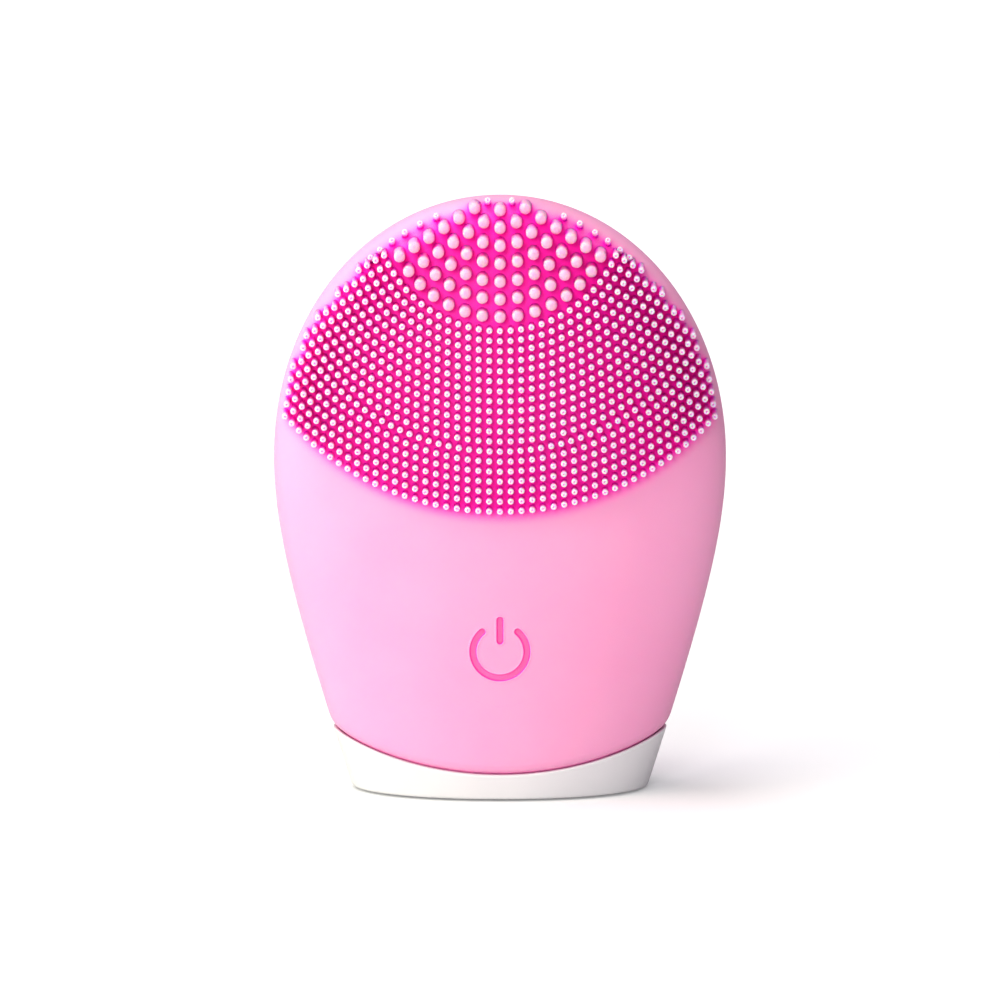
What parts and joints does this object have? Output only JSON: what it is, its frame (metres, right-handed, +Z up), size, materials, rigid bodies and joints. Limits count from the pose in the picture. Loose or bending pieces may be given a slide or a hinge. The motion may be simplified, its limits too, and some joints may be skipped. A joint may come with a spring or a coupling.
{
  "type": "facial cleansing brush",
  "caption": "Egg-shaped silicone sonic facial cleansing brush with a bristled front, a press power button and a low stand it lifts out of.",
  "frame": {"origin": "centre of the stand's foot pad, on the surface it rests on", "axes": "+Z up along the brush, bristles and power button face -Y, +X to the right of someone who faces the bristles and looks along +Y"},
  "size_m": [0.0674, 0.0294, 0.0899],
  "materials": {
    "battery_guard_board": "solder mask",
    "battery_pad": "foam",
    "battery_pouch": "laminated foil",
    "battery_wire_black": "PVC insulation",
    "battery_wire_red": "PVC insulation",
    "board_screw_left": "zinc plated",
    "board_screw_right": "zinc plated",
    "bottom_cap": "moulded ABS",
    "button_plunger": "nylon",
    "case_screw_low_left": "zinc plated",
    "case_screw_low_right": "zinc plated",
    "case_screw_top_left": "zinc plated",
    "case_screw_top_right": "zinc plated",
    "charge_chip": "moulded epoxy",
    "charge_jack": "moulded",
    "charge_port_plug": "matte silicone",
    "circuit_board": "solder mask",
    "cradle_screw_left": "zinc plated",
    "cradle_screw_right": "zinc plated",
    "eccentric_weight": "sintered tungsten",
    "front_housing": "moulded ABS",
    "housing_gasket": "matte",
    "main_chip": "moulded epoxy",
    "motor_can": "satin",
    "motor_cradle": "moulded ABS",
    "motor_damper": "matte",
    "motor_end_cap": "nylon",
    "motor_shaft": "ground",
    "motor_wire_black": "PVC insulation",
    "motor_wire_red": "PVC insulation",
    "power_button_pad": "matte silicone",
    "power_inductor": "ferrite",
    "rear_housing": "moulded ABS",
    "silicone_sleeve": "matte silicone",
    "stand_cup": "satin white ABS",
    "stand_foot_pad": "matte",
    "status_led": "clear lens",
    "switch_stem": "moulded",
    "tact_switch_base": "stamped"
  },
  "bodies": {
    "stand": {"stand_cup": "stand_cup", "stand_foot_pad": "stand_foot_pad"},
    "brush": {"battery_guard_board": "battery_guard_board", "battery_pad": "battery_pad", "battery_pouch": "battery_pouch", "battery_wire_black": "battery_wire_black", "battery_wire_red": "battery_wire_red", "board_screw_left": "board_screw_left", "board_screw_right": "board_screw_right", "bottom_cap": "bottom_cap", "case_screw_low_left": "case_screw_low_left", "case_screw_low_right": "case_screw_low_right", "case_screw_top_left": "case_screw_top_left", "case_screw_top_right": "case_screw_top_right", "charge_chip": "charge_chip", "charge_jack": "charge_jack", "circuit_board": "circuit_board", "cradle_screw_left": "cradle_screw_left", "cradle_screw_right": "cradle_screw_right", "front_housing": "front_housing", "housing_gasket": "housing_gasket", "main_chip": "main_chip", "motor_can": "motor_can", "motor_cradle": "motor_cradle", "motor_damper": "motor_damper", "motor_end_cap": "motor_end_cap", "motor_wire_black": "motor_wire_black", "motor_wire_red": "motor_wire_red", "power_inductor": "power_inductor", "rear_housing": "rear_housing", "silicone_sleeve": "silicone_sleeve", "status_led": "status_led", "tact_switch_base": "tact_switch_base"},
    "power_button": {"power_button_pad": "power_button_pad", "button_plunger": "button_plunger", "switch_stem": "switch_stem"},
    "motor_rotor": {"motor_shaft": "motor_shaft", "eccentric_weight": "eccentric_weight"},
    "port_plug": {"charge_port_plug": "charge_port_plug"}
  },
  "joints": [
    {"name": "brush_lift", "type": "slide", "parent": "stand", "child": "brush", "axis": [0, 0, 1], "range_m": [0, 0.03]},
    {"name": "power_button_press", "type": "slide", "parent": "brush", "child": "power_button", "axis": [0, 1, 0], "range_m": [0, 0.0005], "stiffness_N_per_m": 500, "springref_m": -0.001},
    {"name": "motor_spin", "type": "hinge", "parent": "brush", "child": "motor_rotor", "pos_m": [0, 0, 0.071], "axis": [0, 0, 1], "continuous": true},
    {"name": "port_plug_pull", "type": "slide", "parent": "brush", "child": "port_plug", "axis": [0, 1, 0], "range_m": [0, 0.012]}
  ]
}
